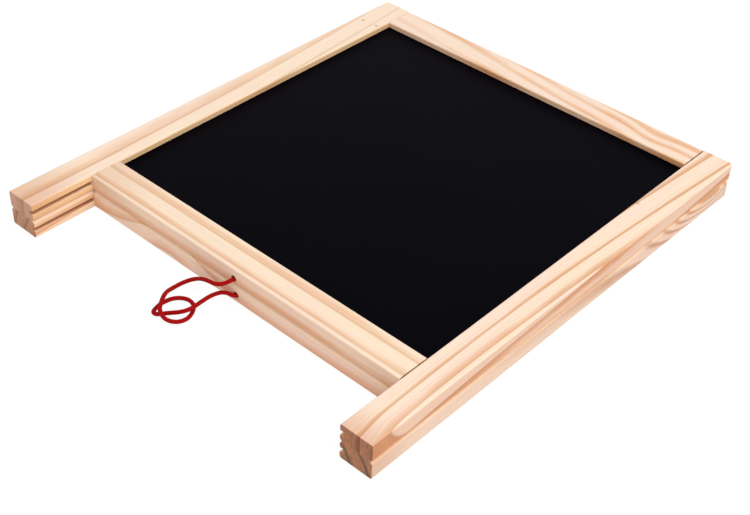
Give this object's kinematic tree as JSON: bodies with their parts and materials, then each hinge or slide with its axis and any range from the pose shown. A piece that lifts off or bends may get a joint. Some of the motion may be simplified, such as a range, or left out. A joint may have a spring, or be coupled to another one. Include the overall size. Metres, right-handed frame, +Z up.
{
  "type": "menu chalkboard easel",
  "caption": "Small folding A-frame menu chalkboard: two wooden frames with blackboard panels, hinged along the top edge and tied by a short cord",
  "frame": {"origin": "on the floor, under the middle of the folded board (the middle of its box without the cord)", "axes": "+X runs across the board, +Y from the feet to the hinged top edge, +Z up, out of the front leaf's blackboard"},
  "size_m": [0.35, 0.403, 0.0283],
  "materials": {
    "pine": "unfinished, smooth sanded",
    "dowel": "unfinished",
    "chalkboard": "matt black paint on hardboard",
    "cord": "braided, slight sheen",
    "hinge": "satin",
    "screw": "satin"
  },
  "bodies": {
    "rear_leaf": {"rear_left_stile": "pine", "rear_right_stile": "pine", "rear_bottom_rail": "pine", "rear_top_rail": "pine", "rear_chalkboard": "chalkboard", "rear_corner_dowels": "dowel", "rear_hinge_screws": "screw", "left_hinge_rear_plate": "hinge", "right_hinge_rear_plate": "hinge", "left_hinge_pin": "hinge", "right_hinge_pin": "hinge", "cord": "cord"},
    "front_leaf": {"front_left_stile": "pine", "front_right_stile": "pine", "front_bottom_rail": "pine", "front_top_rail": "pine", "front_chalkboard": "chalkboard", "front_corner_dowels": "dowel", "front_hinge_screws": "screw", "left_hinge_front_plate": "hinge", "right_hinge_front_plate": "hinge"}
  },
  "joints": [
    {"name": "leaf_hinge", "type": "hinge", "parent": "rear_leaf", "child": "front_leaf", "pos_m": [0, 0.1995, 0.01415], "axis": [-1, 0, 0], "range_deg": [0, 35], "deforming": ["cord"]}
  ]
}
